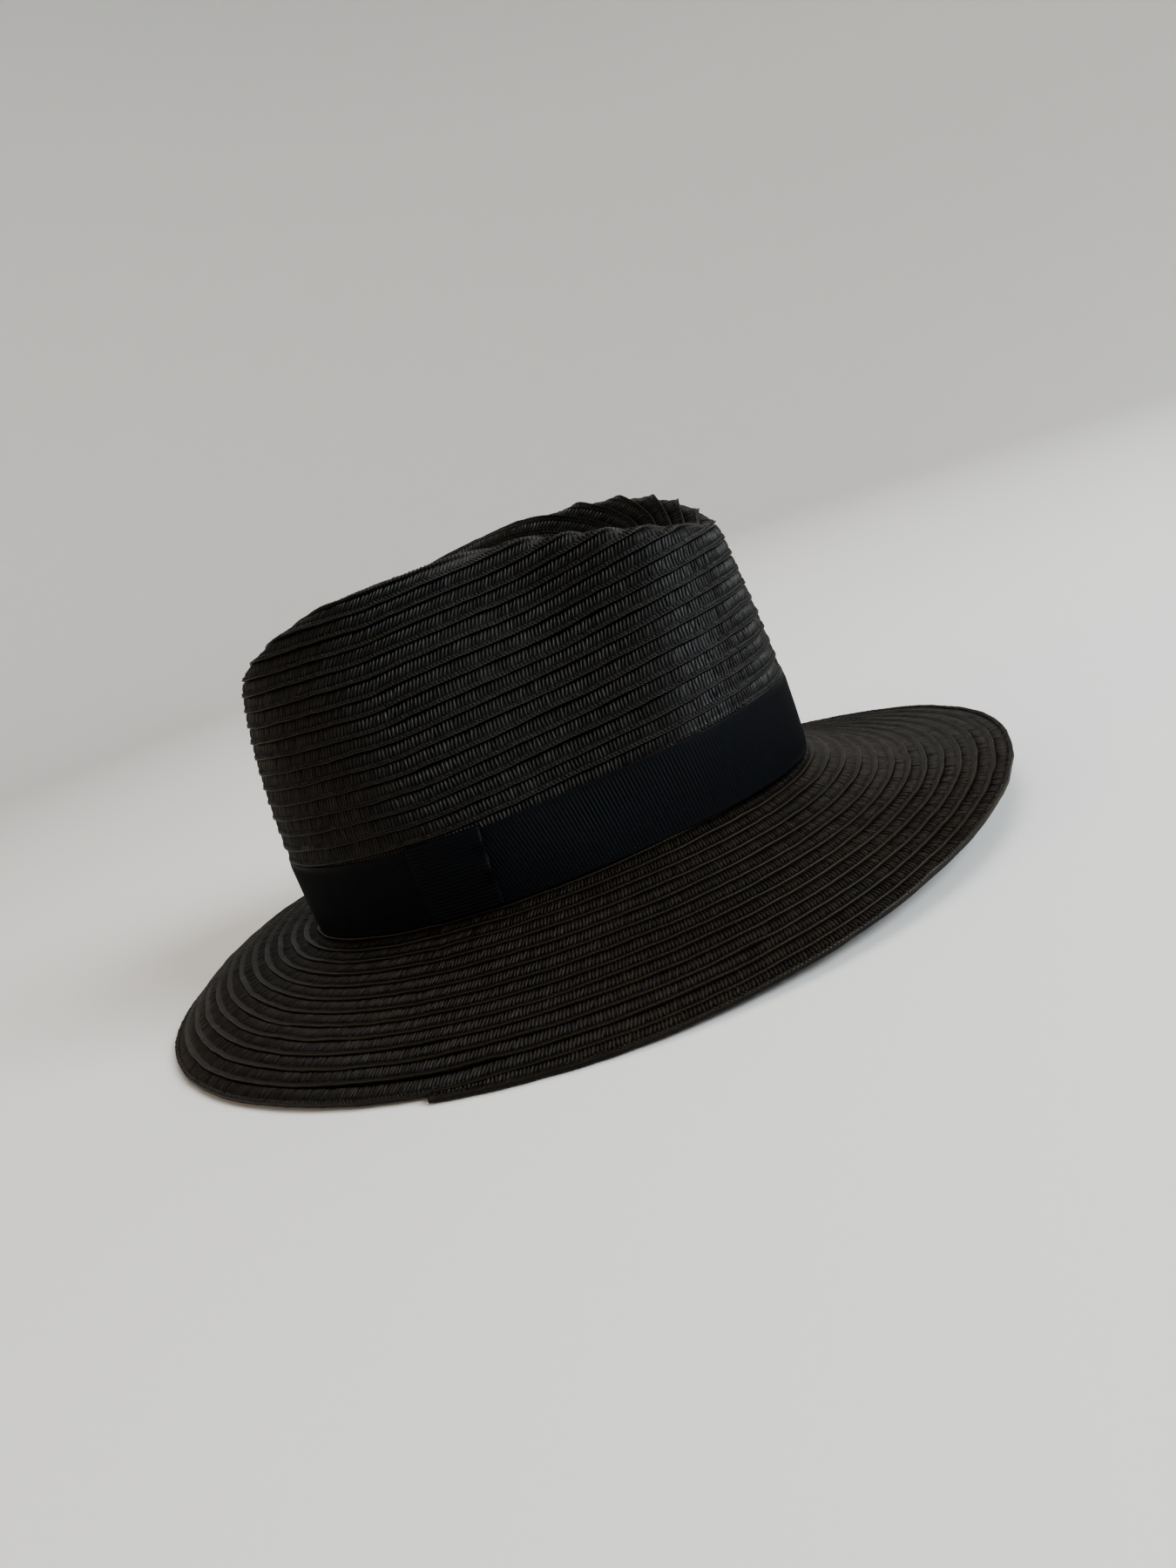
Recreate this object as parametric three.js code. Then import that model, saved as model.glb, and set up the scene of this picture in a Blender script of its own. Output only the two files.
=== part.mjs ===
// A dark braided-straw hat with a pinched teardrop crown, a gently sloping brim and a ribbed ribbon band.
// Millimetres, +Z up. The front of the hat faces -Y, and the wearer's right is at -X.
// It stands on the edge of its own brim, with the origin on the ground under the middle of the whole hat.
import * as THREE from 'three';
import { mergeVertices } from 'three/addons/utils/BufferGeometryUtils.js';

// ---- sizes ------------------------------------------------------------------------------------
const STRAW = 1.8; // thickness of the sewn braid, crown and brim alike
const GAP = 0.3; // clearance between neighbouring pieces
const BRIM_CLEAR = 0.5; // and between the flat facets of the brim and of the crown
const AROUND = 72; // facets around the hat
const LEAN_BACK = 0.06; // the crown leans back this much (radians) as the hat stands on its brim
const LIFT = 22.8; // height of the middle of the head line above the ground
const SET_BACK = 3.8; // and how far it lies behind the middle of the whole hat

// Walls of the crown, level by level above the head line: reach to the front and to the back,
// half width, how far behind the middle it is widest, and how deep the sides are pinched in.
const CROWN = [
  { up: -8, front: 105.0, back: 103.5, half: 79.0, widest: 0, pinch: 0 },
  { up: 0, front: 105.6, back: 103.0, half: 79.0, widest: 0, pinch: 0 },
  { up: 30, front: 106.7, back: 101.5, half: 78.8, widest: 8, pinch: 6 },
  { up: 60, front: 105.7, back: 98.5, half: 72.3, widest: 18, pinch: 10 },
  { up: 90, front: 103.9, back: 93.5, half: 62.5, widest: 20, pinch: 14 },
  { up: 122, front: 102.3, back: 84.0, half: 50.5, widest: 10, pinch: 15 },
];
const PINCH_AT = -38; // the side pinches lie this far forward of the middle
const PINCH_LENGTH = 24; // and fade out over this length

// Height of the crest that runs around the dent, every 30 degrees from the front round to the back.
const CREST = [93.5, 101.5, 114.5, 120.5, 117.7, 109.3, 104];
// The left side of the crest stands higher beside the front of the dent and dips behind that, at these angles
// to the left of the front, in radians.
const LEFT_CREST_RISE = 8.0;
const LEFT_CREST_AT = 0.66;
const LEFT_CREST_SHARPNESS = 2.4;
const LEFT_DROP = 3.4;
const LEFT_DROP_AT = 1.75;
const LEFT_DROP_LENGTH = 0.45;
const CREST_SOFTNESS = 5; // half width of the rounding over the crest

// Floor of the dent along the middle line, from the front crest to the back crest.
const VALLEY = [
  { y: -104, up: 92 }, { y: -92, up: 87 }, { y: -75, up: 83 }, { y: -55, up: 85 }, { y: -30, up: 92 },
  { y: 0, up: 99 }, { y: 35, up: 103.5 }, { y: 65, up: 104.5 }, { y: 92, up: 103 },
];
const TIP_HALF_LENGTH = 22; // the braid starts along a short line in the middle of the top
const TIP_TILT = -0.18; // which lies a little lower towards the front
const WALL_FOOT = 8; // the lines of the wall start this far below the head line

// The brim is laid out from this oval at the head line.
const HEAD_HALF_LENGTH = 103;
const HEAD_HALF_WIDTH = 79;
// Underside of the brim above the ground. Each row is one distance out from that oval along the
// brim, with the height at the front, the front quarter, the side, the back quarter and the back.
const BRIM = [
  { out: 0, front: 27.6, frontQuarter: 28.7, side: 25.5, backQuarter: 21.3, back: 17.4 },
  { out: 14, front: 22.2, frontQuarter: 22.4, side: 21.3, backQuarter: 17.9, back: 18.3 },
  { out: 27, front: 17.4, frontQuarter: 17.3, side: 16.2, backQuarter: 15.0, back: 17.6 },
  { out: 39, front: 14.5, frontQuarter: 13.3, side: 12.0, backQuarter: 11.9, back: 15.5 },
  { out: 55, front: 12.9, frontQuarter: 9.6, side: 7.0, backQuarter: 7.4, back: 9.9 },
  { out: 70, front: 13.0, frontQuarter: 6.4, side: 1.8, backQuarter: 1.8, back: 2.2 },
  { out: 78, front: 13.4, frontQuarter: 5.3, side: -1.0, backQuarter: -2.5, back: -2.4 },
];
const ROW_PITCH = 5.95; // one braid row shows this much
const BRIM_ROWS = 13; // rows from the head line to the edge at the front
const EDGE_ROUND = 0.4; // the outermost row is this much narrower, where it rounds over
const BRAID_END = 1.71; // the braid stops here (radians from the front), so the edge steps in by half a row
// Before its end the outermost row is tucked in, where it starts it spreads, and the back reaches out a little.
const END_TUCK = 1.5;
const TUCK_LENGTH = 0.69; // radians, like the other lengths around the edge
const END_SPREAD = 1.4;
const SPREAD_LENGTH = 0.38;
const BACK_REACH = 1.2;
const BACK_AT = 2.9;
const BACK_LENGTH = 0.45;
const BACK_TIGHTER = 0.04; // the rows lie this much closer together at the very back
const EDGE_LAND = 2.5; // flat margin under the brim edge

const BAND_TOP_FRONT = 31.5; // ribbon band: its top edge up the crown wall, at the front and at the back
const BAND_TOP_BACK = 35.7;
const BAND_OVER_BRIM = 0.9; // its foot stands this much above the brim
const BAND_OFF = 0.45; // off the facets of the crown
const BAND_THICK = 0.9;
const LOOP_FRONT = 6.8; // the ribbon loop over the band stands upright between these two, behind the middle
const LOOP_BACK = 34.1;
const LOOP_THICK = 1.0;
const LOOP_OVER = 1.4; // it reaches this far past the top edge of the band

// ---- small helpers ----------------------------------------------------------------------------
// A smooth curve through one column of a table, at key = x.
function column(table, key, name, x) {
  let i = 0;
  while (i < table.length - 2 && x > table[i + 1][key]) i++;
  const a = table[i], b = table[i + 1];
  const before = table[Math.max(i - 1, 0)], after = table[Math.min(i + 2, table.length - 1)];
  const w = b[key] - a[key];
  const t = (x - a[key]) / w;
  const slopeA = before === a ? (b[name] - a[name]) / w : (b[name] - before[name]) / (b[key] - before[key]);
  const slopeB = after === b ? (b[name] - a[name]) / w : (after[name] - a[name]) / (after[key] - a[key]);
  const t2 = t * t, t3 = t2 * t;
  return (2 * t3 - 3 * t2 + 1) * a[name] + (t3 - 2 * t2 + t) * w * slopeA
    + (3 * t2 - 2 * t3) * b[name] + (t3 - t2) * w * slopeB;
}

// A smooth wave around the hat through values that are evenly spaced from the front to the back.
function around(values, angle) {
  const n = values.length - 1;
  let sum = 0;
  for (let k = 0; k <= n; k++) {
    let part = 0;
    for (let j = 0; j <= n; j++) part += values[j] * Math.cos(Math.PI * j * k / n) * (j % n ? 1 : 0.5);
    sum += part * Math.cos(k * angle) * (k % n ? 2 : 1) / n;
  }
  return sum;
}

// From the crown's own upright to the way it stands.
function stand(p) {
  const c = Math.cos(LEAN_BACK), s = Math.sin(LEAN_BACK);
  return new THREE.Vector3(p.x, p.y * c + p.z * s + SET_BACK, p.z * c - p.y * s + LIFT);
}

// ---- crown ------------------------------------------------------------------------------------
function wallPoint(angle, up) {
  const c = Math.cos(angle), s = Math.sin(angle);
  const middle = column(CROWN, 'up', 'widest', up);
  const reach = c > 0 ? column(CROWN, 'up', 'front', up) + middle : column(CROWN, 'up', 'back', up) - middle;
  const y = middle - reach * c;
  const pinch = column(CROWN, 'up', 'pinch', up) * Math.exp(-(((y - PINCH_AT) / PINCH_LENGTH) ** 2) / 2);
  return new THREE.Vector3(-(column(CROWN, 'up', 'half', up) - pinch) * s, y, up);
}

function crestHeight(angle) {
  const left = 2 * Math.PI - angle, share = left / LEFT_CREST_AT;
  const rise = LEFT_CREST_RISE * (share * Math.exp(1 - share)) ** LEFT_CREST_SHARPNESS;
  const drop = LEFT_DROP * Math.exp(-(((left - LEFT_DROP_AT) / LEFT_DROP_LENGTH) ** 2));
  return around(CREST, angle) + rise - drop;
}

// One line of the crown from below the head line up the wall, over the crest and down to the tip.
const STEP = 1.0; // about the length of one step along it
const DENT_STEPS = 60;
const profiles = new Map();
function profile(angle) {
  const key = angle.toFixed(6);
  if (profiles.has(key)) return profiles.get(key);
  const top = crestHeight(angle);
  const raw = [];
  const wallSteps = Math.ceil((top + WALL_FOOT) / STEP);
  for (let i = 0; i <= wallSteps; i++) raw.push(wallPoint(angle, (top + WALL_FOOT) * i / wallSteps - WALL_FOOT));
  const crest = raw[raw.length - 1];
  const tip = new THREE.Vector3(0, -TIP_HALF_LENGTH * Math.cos(angle), 0);
  for (let i = 1; i <= DENT_STEPS; i++) {
    const t = i / DENT_STEPS;
    const p = crest.clone().lerp(tip, t);
    const sink = Math.sin(Math.PI / 2 * t);
    p.z = top * (1 - sink) + column(VALLEY, 'y', 'up', p.y) * sink;
    raw.push(p);
  }
  const last = raw.length - 1;
  const points = raw.map((p, i) => {
    const r = Math.min(CREST_SOFTNESS, i, last - i);
    const mean = new THREE.Vector3();
    for (let k = -r; k <= r; k++) mean.add(raw[i + k]);
    return mean.divideScalar(2 * r + 1);
  });
  // Lengths along the line, counted from the head line. The wall keeps its true length; the rest is
  // shared out evenly, so that the rows of braid close in on the tip together.
  const length = [0];
  for (let i = 1; i <= last; i++) length.push(length[i - 1] + points[i].distanceTo(points[i - 1]));
  let zero = 0;
  while (points[zero + 1].z < 0) zero++;
  const start = length[zero] + (length[zero + 1] - length[zero]) * -points[zero].z
    / (points[zero + 1].z - points[zero].z);
  const made = { points, length: length.map((l) => l - start), crest: length[wallSteps] - start };
  profiles.set(key, made);
  return made;
}

function crownPoint(angle, along) {
  const { points, length } = profile(angle);
  let i = 0;
  while (i < length.length - 2 && along > length[i + 1]) i++;
  const t = Math.min(Math.max((along - length[i]) / (length[i + 1] - length[i]), 0), 1);
  return points[i].clone().lerp(points[i + 1], t);
}

function crownNormal(angle, along) {
  const d = 0.02;
  const side = crownPoint(angle + d, along).sub(crownPoint(angle - d, along));
  const rise = crownPoint(angle, along + 1).sub(crownPoint(angle, along - 1));
  const n = side.cross(rise).normalize();
  const p = crownPoint(angle, along);
  return n.x * p.x + n.y * p.y < 0 ? n.negate() : n;
}

// How far up the wall line the top of the brim meets the crown.
function brimLine(angle, extra = 0) {
  const target = brimHeight(angle, 0) + STRAW / 2 + extra;
  let along = -4;
  while (stand(crownPoint(angle, along)).z < target) along += 0.1;
  return along;
}

// Where the facets of the crown meet along one line: evenly up the wall, closer over the crest.
function crownStations(angle) {
  const { length, crest } = profile(angle);
  const end = length[length.length - 1];
  const foot = brimLine(angle, -STRAW / 2);
  const list = [];
  for (let i = 0; i <= 10; i++) list.push(foot + (crest - 7 - foot) * i / 10);
  list.push(crest - 3, crest, crest + 3, crest + 7);
  for (const f of [0.2, 0.4, 0.6, 0.8, 1]) list.push(crest + 7 + (end - crest - 7) * f);
  return list;
}

// ---- brim -------------------------------------------------------------------------------------
function brimHeight(angle, out) {
  const rows = BRIM.map((r) => ({
    out: r.out,
    under: around([r.front, r.frontQuarter, r.side, r.backQuarter, r.back], angle),
  }));
  return column(rows, 'out', 'under', out);
}

function brimReach(angle) {
  const turn = angle < BRAID_END ? angle : angle - 2 * Math.PI;
  const toEnd = BRAID_END - turn;
  const tuck = END_TUCK * Math.exp(-toEnd / TUCK_LENGTH);
  const spread = END_SPREAD * Math.exp((toEnd - 2 * Math.PI) / SPREAD_LENGTH);
  const back = BACK_REACH * Math.exp(-(((angle - BACK_AT) / BACK_LENGTH) ** 2));
  return ROW_PITCH * (BRIM_ROWS + turn / (2 * Math.PI)) - EDGE_ROUND - tuck + spread + back;
}

function brimLines(angle) {
  const root = new THREE.Vector3(-HEAD_HALF_WIDTH * Math.sin(angle), -HEAD_HALF_LENGTH * Math.cos(angle), 0);
  const outward = new THREE.Vector3(root.x / HEAD_HALF_WIDTH ** 2, root.y / HEAD_HALF_LENGTH ** 2, 0).normalize();
  root.y += SET_BACK;
  const wall = stand(crownPoint(angle, brimLine(angle))).setZ(0);
  const inner = wall.sub(root).dot(outward) + BRIM_CLEAR;
  const spread = 1 - BACK_TIGHTER * Math.max(0, -Math.cos(angle)) ** 2;
  const reach = brimReach(angle);
  const stations = [inner, 7, 14, 25, 38, 50, 62, reach - EDGE_LAND, reach];
  const top = [], under = [];
  let flat = inner, last = inner;
  for (const out of stations) {
    const steps = Math.max(1, Math.round((out - last) / 1.5));
    for (let k = 0; k < steps; k++) {
      const from = last + (out - last) * k / steps, to = last + (out - last) * (k + 1) / steps;
      const rise = brimHeight(angle, to) - brimHeight(angle, from);
      flat += Math.sqrt(Math.max(((to - from) * spread) ** 2 - rise * rise, 0));
    }
    last = out;
    const landed = brimHeight(angle, out > reach - EDGE_LAND - 0.01 ? reach : out);
    const at = root.clone().addScaledVector(outward, flat);
    under.push(at.clone().setZ(Math.max(landed, 0)));
    top.push(at.clone().setZ(Math.max(brimHeight(angle, out), 0) + STRAW));
  }
  return { top, under };
}

// ---- closed bodies from lines that run around the hat ------------------------------------------
// Each line is a closed loop of points; the lines together make a tube that is closed as well.
function loft(lines) {
  const n = lines.length, m = lines[0].length;
  const position = [], index = [];
  for (const line of lines) for (const p of line) position.push(p.x, p.y, p.z);
  for (let i = 0; i < n; i++) {
    for (let j = 0; j < m; j++) {
      const a = i * m + j, b = ((i + 1) % n) * m + j;
      const c = ((i + 1) % n) * m + (j + 1) % m, d = i * m + (j + 1) % m;
      index.push(a, b, c, a, c, d);
    }
  }
  return finish(position, index);
}

function finish(position, index) {
  let geometry = new THREE.BufferGeometry();
  geometry.setAttribute('position', new THREE.Float32BufferAttribute(position, 3));
  geometry.setIndex(index);
  geometry = mergeVertices(geometry, 1e-3);
  const old = geometry.getIndex().array, kept = [];
  for (let i = 0; i < old.length; i += 3) {
    const [a, b, c] = [old[i], old[i + 1], old[i + 2]];
    if (a !== b && b !== c && c !== a) kept.push(a, b, c);
  }
  // Outward faces have a positive volume.
  const p = geometry.getAttribute('position');
  const [va, vb, vc] = [new THREE.Vector3(), new THREE.Vector3(), new THREE.Vector3()];
  let volume = 0;
  for (let i = 0; i < kept.length; i += 3) {
    va.fromBufferAttribute(p, kept[i]);
    vb.fromBufferAttribute(p, kept[i + 1]);
    vc.fromBufferAttribute(p, kept[i + 2]);
    volume += va.dot(vb.cross(vc)) / 6;
  }
  if (volume < 0) for (let i = 0; i < kept.length; i += 3) [kept[i], kept[i + 1]] = [kept[i + 1], kept[i]];
  geometry.setIndex(kept);
  geometry.computeVertexNormals();
  return geometry;
}

const angles = Array.from({ length: AROUND }, (_, i) => 2 * Math.PI * (i + 0.5) / AROUND);

function crownGeometry() {
  const outer = angles.map((angle) => crownStations(angle).map((along) => crownPoint(angle, along)));
  const n = outer.length, m = outer[0].length;
  // Facing out of the straw at each point, from its neighbours; the tip line has one for both its sides.
  const facing = outer.map((line, i) => line.map((p, j) => {
    const l = outer[(i + 1) % n], r = outer[(i + n - 1) % n];
    const along = line[Math.min(j + 1, m - 1)].clone().sub(line[Math.max(j - 1, 0)]);
    const normal = l[j].clone().sub(r[j]).cross(along);
    if (j === m - 1) return new THREE.Vector3(0, TIP_TILT, 1).normalize();
    return normal.normalize();
  }));
  const sign = facing[0][2].dot(new THREE.Vector3(outer[0][2].x, outer[0][2].y, 0)) < 0 ? -1 : 1;
  const lines = outer.map((line, i) => {
    const out = line.map((p) => stand(p));
    const within = line.map((p, j) => {
      const f = facing[i][j].clone().multiplyScalar(j === m - 1 ? 1 : sign);
      if (j === 0) f.setZ(0).normalize();
      return stand(p.clone().addScaledVector(f, -STRAW));
    });
    return [...out, ...within.reverse()];
  });
  // The two tip lines meet themselves on the middle line, so the ring between them is left out.
  const position = [], index = [], size = lines[0].length;
  for (const line of lines) for (const p of line) position.push(p.x, p.y, p.z);
  for (let i = 0; i < n; i++) {
    for (let j = 0; j < size; j++) {
      if (j === m - 1) continue;
      const a = i * size + j, b = ((i + 1) % n) * size + j;
      const c = ((i + 1) % n) * size + (j + 1) % size, d = i * size + (j + 1) % size;
      index.push(a, b, c, a, c, d);
    }
  }
  return finish(position, index);
}

function brimGeometry() {
  return loft(angles.map((angle) => {
    const { top, under } = brimLines(angle);
    return [...top, ...under.reverse()];
  }));
}

// ---- ribbon -----------------------------------------------------------------------------------
function bandTop(angle) {
  return BAND_TOP_FRONT + (BAND_TOP_BACK - BAND_TOP_FRONT) * (1 - Math.cos(angle)) / 2;
}

function ribbonPoint(angle, along, off) {
  return stand(crownPoint(angle, along).addScaledVector(crownNormal(angle, along), off));
}

function bandFoot(angle) {
  return brimLine(angle, STRAW / 2 + BAND_OVER_BRIM);
}

function bandGeometry() {
  return loft(angles.map((angle) => {
    const foot = bandFoot(angle), top = bandTop(angle);
    const at = [0, 1 / 3, 2 / 3, 1].map((f) => foot + (top - foot) * f);
    return [
      ...at.map((along) => ribbonPoint(angle, along, BAND_OFF + BAND_THICK)),
      ...at.reverse().map((along) => ribbonPoint(angle, along, BAND_OFF)),
    ];
  }));
}

// The angle at which a line up the crown passes a given place along the hat's right side.
function angleAt(y, along) {
  let angle = Math.PI / 2;
  for (let i = 0; i < 6; i++) {
    angle += (y - stand(crownPoint(angle, along)).y) / (HEAD_HALF_LENGTH * Math.sin(angle));
  }
  return angle;
}

function loopGeometry() {
  const cuts = 8, near = BAND_OFF + BAND_THICK + GAP;
  const lines = [];
  for (let i = 0; i <= cuts; i++) {
    const y = LOOP_FRONT + (LOOP_BACK - LOOP_FRONT) * i / cuts;
    const middle = angleAt(y, BAND_TOP_FRONT / 2);
    const foot = bandFoot(middle) + 0.1, top = bandTop(middle) + LOOP_OVER;
    const at = [0, 1 / 3, 2 / 3, 1].map((f) => foot + (top - foot) * f);
    lines.push([
      ...at.map((along) => ribbonPoint(angleAt(y, along), along, near + LOOP_THICK)),
      ...at.reverse().map((along) => ribbonPoint(angleAt(y, along), along, near)),
    ]);
  }
  const m = lines[0].length, position = [], index = [];
  for (const line of lines) for (const p of line) position.push(p.x, p.y, p.z);
  for (let i = 0; i < cuts; i++) {
    for (let j = 0; j < m; j++) {
      const a = i * m + j, b = (i + 1) * m + j, c = (i + 1) * m + (j + 1) % m, d = i * m + (j + 1) % m;
      index.push(a, b, c, a, c, d);
    }
  }
  const half = m / 2, endRow = cuts * m;
  for (let j = 0; j < half - 1; j++) {
    const p = j, q = j + 1, r = m - 2 - j, s = m - 1 - j;
    index.push(p, q, r, p, r, s);
    index.push(endRow + p, endRow + r, endRow + q, endRow + p, endRow + s, endRow + r);
  }
  return finish(position, index);
}

// ---- the hat ----------------------------------------------------------------------------------
const hat = new THREE.Group();
function add(name, geometry, colour, roughness) {
  const mesh = new THREE.Mesh(geometry, new THREE.MeshStandardMaterial({ color: colour, roughness, metalness: 0 }));
  mesh.name = name;
  hat.add(mesh);
}

add('crown', crownGeometry(), 0x26221f, 0.6);
add('brim', brimGeometry(), 0x2a231e, 0.6);
add('ribbon_band', bandGeometry(), 0x11131a, 0.8);
add('ribbon_loop', loopGeometry(), 0x11131a, 0.8);

export default hat;
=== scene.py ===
import math

import bpy
import numpy as np
from mathutils import Matrix, Vector


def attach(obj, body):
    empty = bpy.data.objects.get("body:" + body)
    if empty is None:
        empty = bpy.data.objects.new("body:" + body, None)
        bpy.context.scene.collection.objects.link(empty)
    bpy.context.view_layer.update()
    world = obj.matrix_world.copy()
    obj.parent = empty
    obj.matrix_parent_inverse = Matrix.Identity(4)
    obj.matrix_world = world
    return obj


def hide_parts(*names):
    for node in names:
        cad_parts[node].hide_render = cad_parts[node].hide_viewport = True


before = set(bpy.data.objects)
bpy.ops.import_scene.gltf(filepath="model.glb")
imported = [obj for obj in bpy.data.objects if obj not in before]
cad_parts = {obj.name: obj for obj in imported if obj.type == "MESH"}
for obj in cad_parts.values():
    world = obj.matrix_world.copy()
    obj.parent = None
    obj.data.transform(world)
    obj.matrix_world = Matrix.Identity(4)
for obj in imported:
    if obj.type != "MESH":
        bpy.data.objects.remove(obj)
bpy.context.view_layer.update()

# ---- camera ---------------------------------------------------------------------------------------
CAMERA_AT = Vector((-0.4136, -0.1081, 0.1456))
CAMERA_AIM = Vector((-0.0254, -0.0217, 0.0459))
CAMERA_ROLL = math.radians(19.6)  # tipped sideways, so that the front of the hat comes up
LENS, SENSOR_WIDTH = 33.4, 36  # millimetres


def place_camera():
    forward = (CAMERA_AIM - CAMERA_AT).normalized()
    level = forward.cross(Vector((0, 0, 1))).normalized()
    upright = level.cross(forward)
    c, s = math.cos(CAMERA_ROLL), math.sin(CAMERA_ROLL)
    turn = Matrix((level * c - upright * s, level * s + upright * c, -forward)).transposed()
    data = bpy.data.cameras.new("camera")
    data.sensor_fit = "HORIZONTAL"
    data.sensor_width = SENSOR_WIDTH
    data.lens = LENS
    data.clip_start = 0.01
    camera = bpy.data.objects.new("camera", data)
    camera.matrix_world = Matrix.Translation(CAMERA_AT) @ turn.to_4x4()
    bpy.context.scene.collection.objects.link(camera)
    bpy.context.scene.camera = camera


place_camera()

# ---- sizes, in millimetres, as in the CAD part ---------------------------------------------------
MM = 0.001
TURN = 2 * math.pi
STRAW = 1.8
HEAD_HALF_LENGTH, HEAD_HALF_WIDTH = 103.0, 79.0
BACK_TIGHTER = 0.04  # share by which the brim is drawn in at the back
LEAN_BACK = 0.06  # radians that the crown leans back as the hat stands
LIFT, SET_BACK = 22.8, 3.8  # where the crown's head line stands, above the ground and back from the middle
ROW_PITCH = 5.95
BRIM_ROWS = 13
BRAID_END = 1.71  # radians from the front round to the end of the braid, on the wearer's right
TIP_HALF_LENGTH = 22.0  # of the fold at the bottom of the dent, where the rows begin
WALL_FOOT = -8.0
DENT_STEPS = 60
PINCH_AT, PINCH_LENGTH = -38.0, 24.0
# The left crest has a high spot beside the front of the dent, and a low one further back: millimetres, and
# radians round from the front.
LEFT_CREST_RISE, LEFT_CREST_AT, LEFT_CREST_SHARPNESS = 8.0, 0.66, 2.4
LEFT_DROP, LEFT_DROP_AT, LEFT_DROP_LENGTH = 3.4, 1.75, 0.45
CREST_SOFTNESS = 5  # points on each side that the crest is rounded over

# Crown walls, level by level above the head line: their reach to the front, to the back and to each side,
# how far back they are widest, and how far each side is pinched in.
CROWN = {
    "up": (-8, 0, 30, 60, 90, 122),
    "front": (105.0, 105.6, 106.7, 105.7, 103.9, 102.3),
    "back": (103.5, 103.0, 101.5, 98.5, 93.5, 84.0),
    "half": (79.0, 79.0, 78.8, 72.3, 62.5, 50.5),
    "widest": (0, 0, 8, 18, 20, 10),
    "pinch": (0, 0, 6, 10, 14, 15),
}
# Height of the crest, in even steps of angle from the front to the back.
CREST = (93.5, 101.5, 114.5, 120.5, 117.7, 109.3, 104)
# Height of the bottom of the dent, from front to back.
VALLEY = {
    "y": (-104, -92, -75, -55, -30, 0, 35, 65, 92),
    "up": (92, 87, 83, 85, 92, 99, 103.5, 104.5, 103),
}
# Underside of the brim above the ground, by distance out from the crown.
BRIM = {
    "out": (0, 14, 27, 39, 55, 70, 78),
    "front": (27.6, 22.2, 17.4, 14.5, 12.9, 13.0, 13.4),
    "front_quarter": (28.7, 22.4, 17.3, 13.3, 9.6, 6.4, 5.3),
    "side": (25.5, 21.3, 16.2, 12.0, 7.0, 1.8, -1.0),
    "back_quarter": (21.3, 17.9, 15.0, 11.9, 7.4, 1.8, -2.5),
    "back": (17.4, 18.3, 17.6, 15.5, 9.9, 2.2, -2.4),
}


def column(table, key, name, x):
    """A smooth curve through one column of a table, at key = x."""
    keys = np.array(table[key], float)
    values = np.array(table[name], float)
    x = np.asarray(x, float)
    i = np.clip(np.searchsorted(keys, x, side="right") - 1, 0, len(keys) - 2)
    slopes = np.empty(len(keys))
    slopes[1:-1] = (values[2:] - values[:-2]) / (keys[2:] - keys[:-2])
    slopes[0] = (values[1] - values[0]) / (keys[1] - keys[0])
    slopes[-1] = (values[-1] - values[-2]) / (keys[-1] - keys[-2])
    w = keys[i + 1] - keys[i]
    t = (x - keys[i]) / w
    t2, t3 = t * t, t * t * t
    return ((2 * t3 - 3 * t2 + 1) * values[i] + (t3 - 2 * t2 + t) * w * slopes[i]
            + (3 * t2 - 2 * t3) * values[i + 1] + (t3 - t2) * w * slopes[i + 1])


def around(values, angle):
    """A smooth wave around the hat through values evenly spaced from the front to the back."""
    n = len(values) - 1
    total = 0.0
    for k in range(n + 1):
        part = sum(v * math.cos(math.pi * j * k / n) * (1.0 if j % n else 0.5) for j, v in enumerate(values))
        total = total + part * np.cos(k * angle) * (2.0 if k % n else 1.0) / n
    return total


def stand(p):
    """From the crown's own upright to the way the hat stands."""
    c, s = math.cos(LEAN_BACK), math.sin(LEAN_BACK)
    x, y, z = p[..., 0], p[..., 1], p[..., 2]
    return np.stack([x, y * c + z * s + SET_BACK, z * c - y * s + LIFT], -1)


def wall_point(angle, up):
    """Points on the crown's wall: ovals, pinched in on each side of the front."""
    middle = column(CROWN, "up", "widest", up)
    front = column(CROWN, "up", "front", up) + middle
    back = column(CROWN, "up", "back", up) - middle
    y = middle - np.where(np.cos(angle) > 0, front, back) * np.cos(angle)
    pinch = column(CROWN, "up", "pinch", up) * np.exp(-((y - PINCH_AT) / PINCH_LENGTH) ** 2 / 2)
    return np.stack([-(column(CROWN, "up", "half", up) - pinch) * np.sin(angle), y, up + 0 * angle], -1)


def beside_dent(angle):
    """1 at the high spot of the left crest, beside the front of the dent, and 0 at the front."""
    share = (TURN - np.mod(angle, TURN)) / LEFT_CREST_AT
    return (share * np.exp(1 - share)) ** LEFT_CREST_SHARPNESS


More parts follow.
